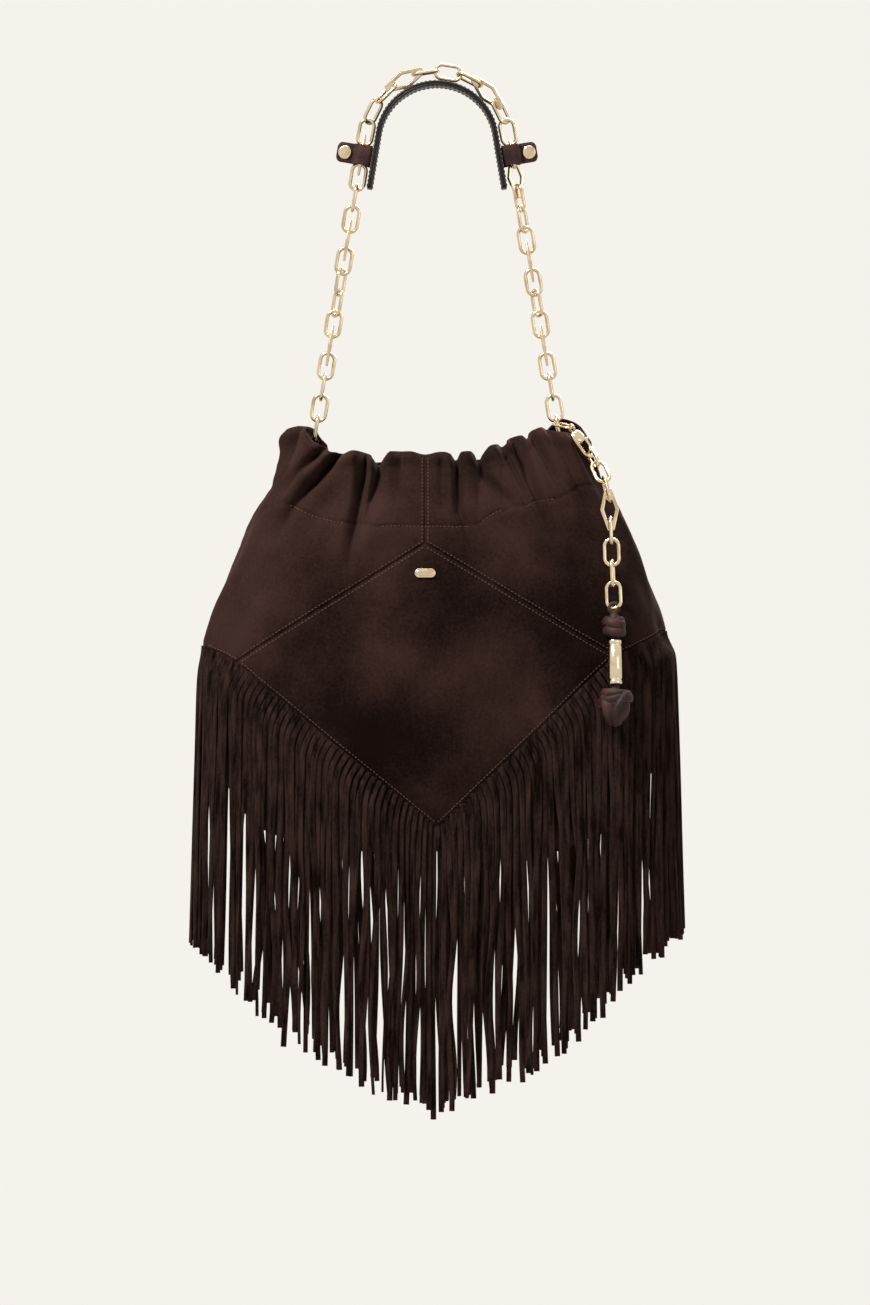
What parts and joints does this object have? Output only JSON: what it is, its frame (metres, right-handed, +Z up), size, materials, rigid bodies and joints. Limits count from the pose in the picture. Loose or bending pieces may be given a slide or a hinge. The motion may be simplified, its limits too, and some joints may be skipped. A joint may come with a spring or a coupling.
{
  "type": "fringed shoulder bag",
  "caption": "Soft suede shoulder bag with a gathered mouth, lozenge panels, a long cut fringe, a gilt link chain over a leather shoulder pad and a clip-on chain charm.",
  "frame": {"origin": "top of the arch on the underside of the shoulder pad, where the bag is hung", "axes": "+Z up, +X to the viewer's right when the plaque faces the viewer, -Y out of the front"},
  "size_m": [0.3762, 0.1569, 0.8075],
  "materials": {
    "suede": "brushed suede, matt",
    "lining": "plain woven cotton",
    "pad_leather": "smooth with painted edges",
    "smooth_leather": "smooth, half matt",
    "gilt": "polished pale gold plate"
  },
  "bodies": {
    "handle": {"shoulder_pad": "pad_leather", "left_snap_tab": "smooth_leather", "right_snap_tab": "smooth_leather", "left_press_stud": "gilt", "right_press_stud": "gilt", "chain_over_pad": "gilt"},
    "strap_left_01": {"strap_left_01": "gilt"},
    "strap_left_02": {"strap_left_02": "gilt"},
    "strap_left_03": {"strap_left_03": "gilt"},
    "strap_left_04": {"strap_left_04": "gilt"},
    "strap_left_05": {"strap_left_05": "gilt"},
    "strap_left_06": {"strap_left_06": "gilt"},
    "strap_left_07": {"strap_left_07": "gilt"},
    "strap_left_08": {"strap_left_08": "gilt"},
    "strap_left_09": {"strap_left_09": "gilt"},
    "strap_left_10": {"strap_left_10": "gilt"},
    "strap_left_11": {"strap_left_11": "gilt"},
    "strap_right_01": {"strap_right_01": "gilt"},
    "strap_right_02": {"strap_right_02": "gilt"},
    "strap_right_03": {"strap_right_03": "gilt"},
    "strap_right_04": {"strap_right_04": "gilt"},
    "strap_right_05": {"strap_right_05": "gilt"},
    "strap_right_06": {"strap_right_06": "gilt"},
    "strap_right_07": {"strap_right_07": "gilt"},
    "strap_right_08": {"strap_right_08": "gilt"},
    "strap_right_09": {"strap_right_09": "gilt"},
    "strap_right_10": {"strap_right_10": "gilt"},
    "strap_right_11": {"strap_right_11": "gilt"},
    "bag": {"front_left_panel": "suede", "front_right_panel": "suede", "front_lozenge_panel": "suede", "back_left_panel": "suede", "back_right_panel": "suede", "back_lozenge_panel": "suede", "lower_panel": "suede", "lining": "lining", "fringe_back_right": "suede", "fringe_back_left": "suede", "fringe_front_left": "suede", "fringe_front_right": "suede", "plaque": "gilt", "left_anchor_ring": "gilt", "left_anchor_tab": "smooth_leather", "right_anchor_ring": "gilt", "right_anchor_tab": "smooth_leather"},
    "charm_ring": {"charm_ring": "gilt"},
    "clasp": {"clasp_body": "gilt"},
    "clasp_gate": {"clasp_gate": "gilt"},
    "charm_link_1": {"charm_link_1": "gilt"},
    "charm_link_2": {"charm_link_2": "gilt"},
    "charm_link_3": {"charm_link_3": "gilt"},
    "charm_link_4": {"charm_link_4": "gilt"},
    "charm_link_5": {"charm_link_5": "gilt"},
    "charm_link_6": {"charm_link_6": "gilt"},
    "charm_link_7": {"charm_link_7": "gilt"},
    "charm_link_8": {"charm_link_8": "gilt"},
    "tassel": {"tassel_cord": "smooth_leather", "tassel_bead": "gilt"}
  },
  "joints": [
    {"name": "left_link_01_swing", "type": "hinge", "parent": "handle", "child": "strap_left_01", "pos_m": [-0.06175, 0, -0.07751], "axis": [1, 0, 0], "range_deg": [-20, 20]},
    {"name": "left_link_02_swing", "type": "hinge", "parent": "strap_left_01", "child": "strap_left_02", "pos_m": [-0.06445, 0, -0.09359], "axis": [-1, 0, 0], "range_deg": [-20, 20]},
    {"name": "left_link_03_swing", "type": "hinge", "parent": "strap_left_02", "child": "strap_left_03", "pos_m": [-0.06714, 0, -0.10966], "axis": [1, 0, 0], "range_deg": [-20, 20]},
    {"name": "left_link_04_swing", "type": "hinge", "parent": "strap_left_03", "child": "strap_left_04", "pos_m": [-0.06982, 0, -0.12574], "axis": [-1, 0, 0], "range_deg": [-20, 20]},
    {"name": "left_link_05_swing", "type": "hinge", "parent": "strap_left_04", "child": "strap_left_05", "pos_m": [-0.07251, 0, -0.14182], "axis": [1, 0, 0], "range_deg": [-20, 20]},
    {"name": "left_link_06_swing", "type": "hinge", "parent": "strap_left_05", "child": "strap_left_06", "pos_m": [-0.07521, 0, -0.15789], "axis": [-1, 0, 0], "range_deg": [-20, 20]},
    {"name": "left_link_07_swing", "type": "hinge", "parent": "strap_left_06", "child": "strap_left_07", "pos_m": [-0.0779, 0, -0.17397], "axis": [1, 0, 0], "range_deg": [-20, 20]},
    {"name": "left_link_08_swing", "type": "hinge", "parent": "strap_left_07", "child": "strap_left_08", "pos_m": [-0.08059, 0, -0.19005], "axis": [-1, 0, 0], "range_deg": [-20, 20]},
    {"name": "left_link_09_swing", "type": "hinge", "parent": "strap_left_08", "child": "strap_left_09", "pos_m": [-0.08328, 0, -0.20612], "axis": [1, 0, 0], "range_deg": [-20, 20]},
    {"name": "left_link_10_swing", "type": "hinge", "parent": "strap_left_09", "child": "strap_left_10", "pos_m": [-0.08597, 0, -0.2222], "axis": [-1, 0, 0], "range_deg": [-20, 20]},
    {"name": "left_link_11_swing", "type": "hinge", "parent": "strap_left_10", "child": "strap_left_11", "pos_m": [-0.08866, 0, -0.23827], "axis": [1, 0, 0], "range_deg": [-20, 20]},
    {"name": "right_link_01_swing", "type": "hinge", "parent": "handle", "child": "strap_right_01", "pos_m": [0.06175, 0, -0.07751], "axis": [1, 0, 0], "range_deg": [-20, 20]},
    {"name": "right_link_02_swing", "type": "hinge", "parent": "strap_right_01", "child": "strap_right_02", "pos_m": [0.06445, 0, -0.09359], "axis": [-1, 0, 0], "range_deg": [-20, 20]},
    {"name": "right_link_03_swing", "type": "hinge", "parent": "strap_right_02", "child": "strap_right_03", "pos_m": [0.06714, 0, -0.10966], "axis": [1, 0, 0], "range_deg": [-20, 20]},
    {"name": "right_link_04_swing", "type": "hinge", "parent": "strap_right_03", "child": "strap_right_04", "pos_m": [0.06982, 0, -0.12574], "axis": [-1, 0, 0], "range_deg": [-20, 20]},
    {"name": "right_link_05_swing", "type": "hinge", "parent": "strap_right_04", "child": "strap_right_05", "pos_m": [0.07251, 0, -0.14182], "axis": [1, 0, 0], "range_deg": [-20, 20]},
    {"name": "right_link_06_swing", "type": "hinge", "parent": "strap_right_05", "child": "strap_right_06", "pos_m": [0.07521, 0, -0.15789], "axis": [-1, 0, 0], "range_deg": [-20, 20]},
    {"name": "right_link_07_swing", "type": "hinge", "parent": "strap_right_06", "child": "strap_right_07", "pos_m": [0.0779, 0, -0.17397], "axis": [1, 0, 0], "range_deg": [-20, 20]},
    {"name": "right_link_08_swing", "type": "hinge", "parent": "strap_right_07", "child": "strap_right_08", "pos_m": [0.08059, 0, -0.19005], "axis": [-1, 0, 0], "range_deg": [-20, 20]},
    {"name": "right_link_09_swing", "type": "hinge", "parent": "strap_right_08", "child": "strap_right_09", "pos_m": [0.08328, 0, -0.20612], "axis": [1, 0, 0], "range_deg": [-20, 20]},
    {"name": "right_link_10_swing", "type": "hinge", "parent": "strap_right_09", "child": "strap_right_10", "pos_m": [0.08597, 0, -0.2222], "axis": [-1, 0, 0], "range_deg": [-20, 20]},
    {"name": "right_link_11_swing", "type": "hinge", "parent": "strap_right_10", "child": "strap_right_11", "pos_m": [0.08866, 0, -0.23827], "axis": [1, 0, 0], "range_deg": [-20, 20]},
    {"name": "bag_swing", "type": "hinge", "parent": "strap_left_11", "child": "bag", "pos_m": [-0.09135, 0, -0.25435], "axis": [1, 0, 0], "range_deg": [-15, 15]},
    {"name": "charm_ring_swing", "type": "hinge", "parent": "bag", "child": "charm_ring", "pos_m": [0.09206, -0.0054, -0.25862], "axis": [-0.7849, -0.6196, 0], "range_deg": [0, 20]},
    {"name": "clasp_swing", "type": "hinge", "parent": "charm_ring", "child": "clasp", "pos_m": [0.10244, -0.01854, -0.26208], "axis": [-0.7849, -0.6196, 0], "range_deg": [0, 20]},
    {"name": "clasp_gate_turn", "type": "hinge", "parent": "clasp", "child": "clasp_gate", "pos_m": [0.11294, -0.01794, -0.2709], "axis": [-0.4624, 0.7325, -0.4996], "range_deg": [0, 25], "stiffness_Nm_per_rad": 0.02, "springref_deg": -17.19},
    {"name": "charm_link_1_swing", "type": "hinge", "parent": "clasp", "child": "charm_link_1", "pos_m": [0.11588, -0.02307, -0.28117], "axis": [-0.9292, -0.3697, 0], "range_deg": [0, 8]},
    {"name": "charm_link_2_swing", "type": "hinge", "parent": "charm_link_1", "child": "charm_link_2", "pos_m": [0.12168, -0.03528, -0.29021], "axis": [-0.9292, -0.3697, 0], "range_deg": [0, 15]},
    {"name": "charm_link_3_swing", "type": "hinge", "parent": "charm_link_2", "child": "charm_link_3", "pos_m": [0.12685, -0.04471, -0.3024], "axis": [-0.9292, -0.3697, 0], "range_deg": [0, 15]},
    {"name": "charm_link_4_swing", "type": "hinge", "parent": "charm_link_3", "child": "charm_link_4", "pos_m": [0.13028, -0.05057, -0.31716], "axis": [-0.9292, -0.3697, 0], "range_deg": [0, 15]},
    {"name": "charm_link_5_swing", "type": "hinge", "parent": "charm_link_4", "child": "charm_link_5", "pos_m": [0.13142, -0.05279, -0.33325], "axis": [-1, 0, 0], "range_deg": [0, 15]},
    {"name": "charm_link_6_swing", "type": "hinge", "parent": "charm_link_5", "child": "charm_link_6", "pos_m": [0.13204, -0.05406, -0.34949], "axis": [-1, 0, 0], "range_deg": [0, 15]},
    {"name": "charm_link_7_swing", "type": "hinge", "parent": "charm_link_6", "child": "charm_link_7", "pos_m": [0.13261, -0.05514, -0.36574], "axis": [-1, 0, 0], "range_deg": [0, 15]},
    {"name": "charm_link_8_swing", "type": "hinge", "parent": "charm_link_7", "child": "charm_link_8", "pos_m": [0.13338, -0.056, -0.382], "axis": [-1, 0, 0], "range_deg": [0, 15]},
    {"name": "tassel_swing", "type": "hinge", "parent": "charm_link_8", "child": "tassel", "pos_m": [0.13402, -0.05742, -0.39822], "axis": [-1, 0, 0], "range_deg": [0, 20]}
  ],
  "couplings": [
    {"joint": "right_link_01_swing", "follows": "left_link_01_swing", "ratio": 1},
    {"joint": "right_link_02_swing", "follows": "left_link_02_swing", "ratio": 1},
    {"joint": "right_link_03_swing", "follows": "left_link_03_swing", "ratio": 1},
    {"joint": "right_link_04_swing", "follows": "left_link_04_swing", "ratio": 1},
    {"joint": "right_link_05_swing", "follows": "left_link_05_swing", "ratio": 1},
    {"joint": "right_link_06_swing", "follows": "left_link_06_swing", "ratio": 1},
    {"joint": "right_link_07_swing", "follows": "left_link_07_swing", "ratio": 1},
    {"joint": "right_link_08_swing", "follows": "left_link_08_swing", "ratio": 1},
    {"joint": "right_link_09_swing", "follows": "left_link_09_swing", "ratio": 1},
    {"joint": "right_link_10_swing", "follows": "left_link_10_swing", "ratio": 1},
    {"joint": "right_link_11_swing", "follows": "left_link_11_swing", "ratio": 1}
  ]
}
